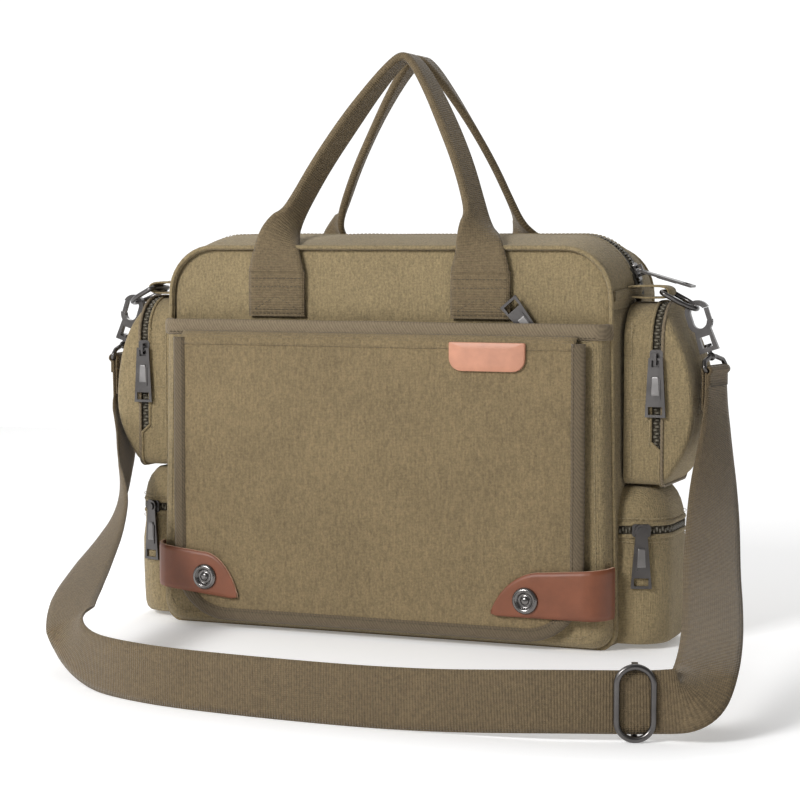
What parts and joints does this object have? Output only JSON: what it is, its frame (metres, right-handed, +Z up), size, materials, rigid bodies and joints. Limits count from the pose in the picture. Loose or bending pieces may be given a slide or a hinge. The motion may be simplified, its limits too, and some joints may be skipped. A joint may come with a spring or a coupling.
{
  "type": "messenger bag",
  "caption": "Canvas messenger bag with a front flap on leather snap straps, zipped side pockets, webbing carry handles and a shoulder strap laid in front.",
  "frame": {"origin": "middle of the base's resting face", "axes": "+X to the right as seen from the front, +Y towards the back, +Z up"},
  "size_m": [0.6019, 0.4342, 0.4618],
  "materials": {
    "canvas": "washed cotton canvas, matt, fine weave",
    "lining": "padded lining cloth, matt",
    "board": "stiff base board, matt",
    "binding": "twill tape, matt",
    "webbing": "ribbed cotton webbing, matt",
    "strap_webbing": "ribbed cotton webbing, matt",
    "strap_leather": "smooth leather with pale cut edges",
    "tab_leather": "smooth tan leather",
    "zip_tape": "woven zip tape",
    "zip_teeth": "dark moulded teeth",
    "snap_metal": "polished gunmetal",
    "gunmetal": "polished gunmetal plate"
  },
  "bodies": {
    "bag": {"back_panel": "canvas", "base_board": "board", "front_panel": "canvas", "front_pocket_panel": "canvas", "front_zip": "zip_tape", "handle_ends_back": "webbing", "handle_ends_front": "webbing", "hook_left": "gunmetal", "hook_right": "gunmetal", "laptop_sleeve": "lining", "lower_pocket_left": "canvas", "lower_pocket_right": "canvas", "lower_pocket_top_left": "canvas", "lower_pocket_top_right": "canvas", "lower_pocket_zips": "zip_tape", "main_gusset": "canvas", "main_zip_tapes": "zip_tape", "main_zip_teeth": "zip_teeth", "pocket_binding": "binding", "ring_loop_left": "canvas", "ring_loop_right": "canvas", "strap_front": "strap_webbing", "strap_left": "strap_webbing", "strap_right": "strap_webbing", "strap_ring_left": "gunmetal", "strap_ring_right": "gunmetal", "top_gusset_back": "canvas", "top_gusset_front": "canvas", "upper_pocket_lid_left": "canvas", "upper_pocket_lid_right": "canvas", "upper_pocket_wall_left": "canvas", "upper_pocket_wall_right": "canvas", "upper_pocket_zips": "zip_tape"},
    "flap": {"flap_panel": "canvas", "flap_binding": "binding", "leather_tab": "tab_leather", "snap_studs": "snap_metal"},
    "leather_left": {"leather_strap_left": "strap_leather", "snap_cap_left": "snap_metal"},
    "leather_right": {"leather_strap_right": "strap_leather", "snap_cap_right": "snap_metal"},
    "handle_front": {"handle_front": "webbing"},
    "handle_back": {"handle_back": "webbing"},
    "main_slider": {"main_slider": "gunmetal"},
    "main_pull": {"main_pull": "gunmetal"},
    "front_slider": {"front_slider": "gunmetal"},
    "front_pull": {"front_pull": "gunmetal"},
    "adjuster": {"adjuster": "gunmetal"},
    "upper_slider_left": {"upper_slider_left": "gunmetal"},
    "upper_pull_left": {"upper_pull_left": "gunmetal"},
    "lower_slider_left": {"lower_slider_left": "gunmetal"},
    "lower_pull_left": {"lower_pull_left": "gunmetal"},
    "dring_left": {"dring_left": "gunmetal"},
    "hook_gate_left": {"hook_gate_left": "gunmetal"},
    "upper_slider_right": {"upper_slider_right": "gunmetal"},
    "upper_pull_right": {"upper_pull_right": "gunmetal"},
    "lower_slider_right": {"lower_slider_right": "gunmetal"},
    "lower_pull_right": {"lower_pull_right": "gunmetal"},
    "dring_right": {"dring_right": "gunmetal"},
    "hook_gate_right": {"hook_gate_right": "gunmetal"}
  },
  "joints": [
    {"name": "flap_lift", "type": "hinge", "parent": "bag", "child": "flap", "pos_m": [0, -0.0815, 0.2365], "axis": [-1, 0, 0], "range_deg": [0, 150]},
    {"name": "leather_strap_left", "type": "hinge", "parent": "bag", "child": "leather_left", "pos_m": [-0.1905, -0.065, 0.046], "axis": [0, 0, -1], "range_deg": [0, 110]},
    {"name": "leather_strap_right", "type": "hinge", "parent": "bag", "child": "leather_right", "pos_m": [0.1905, -0.065, 0.046], "axis": [0, 0, 1], "range_deg": [0, 110]},
    {"name": "handle_front", "type": "hinge", "parent": "bag", "child": "handle_front", "pos_m": [0, -0.064, 0.2855], "axis": [-1, 0, 0], "range_deg": [-150, 0]},
    {"name": "handle_back", "type": "hinge", "parent": "bag", "child": "handle_back", "pos_m": [0, 0.064, 0.2855], "axis": [1, 0, 0], "range_deg": [-150, 0]},
    {"name": "main_zip", "type": "hinge", "parent": "bag", "child": "main_slider", "pos_m": [0.14487, 0, 0.271], "axis": [0, -1, 0], "range_deg": [0, 68]},
    {"name": "main_pull", "type": "hinge", "parent": "main_slider", "child": "main_pull", "pos_m": [0.19129, 0, 0.2879], "axis": [0, -1, 0], "range_deg": [0, 100]},
    {"name": "front_zip", "type": "slide", "parent": "bag", "child": "front_slider", "axis": [1, 0, 0], "range_m": [-0.262, 0.003]},
    {"name": "front_pull", "type": "hinge", "parent": "front_slider", "child": "front_pull", "pos_m": [0.134, -0.0658, 0.231], "axis": [0, 1, 0], "range_deg": [-20, 90]},
    {"name": "upper_zip_left", "type": "slide", "parent": "bag", "child": "upper_slider_left", "axis": [0, 0, 1], "range_m": [-0.055, 0.004]},
    {"name": "upper_pull_left", "type": "hinge", "parent": "upper_slider_left", "child": "upper_pull_left", "pos_m": [-0.2175, -0.0494, 0.222], "axis": [-1, 0, 0], "range_deg": [0, 150]},
    {"name": "lower_zip_left", "type": "hinge", "parent": "bag", "child": "lower_slider_left", "pos_m": [-0.198, -0.024, 0.092], "axis": [0, 0, -1], "range_deg": [-8, 60]},
    {"name": "lower_pull_left", "type": "hinge", "parent": "lower_slider_left", "child": "lower_pull_left", "pos_m": [-0.2086, -0.05313, 0.092], "axis": [-0.342, -0.9397, 0], "range_deg": [-60, 0]},
    {"name": "dring_left", "type": "hinge", "parent": "bag", "child": "dring_left", "pos_m": [-0.217, -0.019, 0.272], "axis": [0, -1, 0], "range_deg": [0, 6]},
    {"name": "hook_gate_left", "type": "hinge", "parent": "bag", "child": "hook_gate_left", "pos_m": [-0.25171, -0.019, 0.24977], "axis": [0, 1, 0], "range_deg": [0, 14], "stiffness_Nm_per_rad": 0.02},
    {"name": "upper_zip_right", "type": "slide", "parent": "bag", "child": "upper_slider_right", "axis": [0, 0, 1], "range_m": [-0.055, 0.004]},
    {"name": "upper_pull_right", "type": "hinge", "parent": "upper_slider_right", "child": "upper_pull_right", "pos_m": [0.2175, -0.0494, 0.222], "axis": [-1, 0, 0], "range_deg": [0, 150]},
    {"name": "lower_zip_right", "type": "hinge", "parent": "bag", "child": "lower_slider_right", "pos_m": [0.198, -0.024, 0.092], "axis": [0, 0, 1], "range_deg": [-8, 60]},
    {"name": "lower_pull_right", "type": "hinge", "parent": "lower_slider_right", "child": "lower_pull_right", "pos_m": [0.2086, -0.05313, 0.092], "axis": [0.342, -0.9397, 0], "range_deg": [0, 60]},
    {"name": "dring_right", "type": "hinge", "parent": "bag", "child": "dring_right", "pos_m": [0.217, -0.019, 0.272], "axis": [0, 1, 0], "range_deg": [0, 6]},
    {"name": "hook_gate_right", "type": "hinge", "parent": "bag", "child": "hook_gate_right", "pos_m": [0.25171, -0.019, 0.24977], "axis": [0, -1, 0], "range_deg": [0, 14], "stiffness_Nm_per_rad": 0.02},
    {"name": "adjuster_slide", "type": "slide", "parent": "bag", "child": "adjuster", "axis": [-0.945, -0.3271, 0], "range_m": [0, 0.03]}
  ],
  "couplings": [
    {"joint": "leather_strap_left", "follows": "flap_lift", "ratio": 0.7333},
    {"joint": "leather_strap_right", "follows": "flap_lift", "ratio": 0.7333}
  ]
}
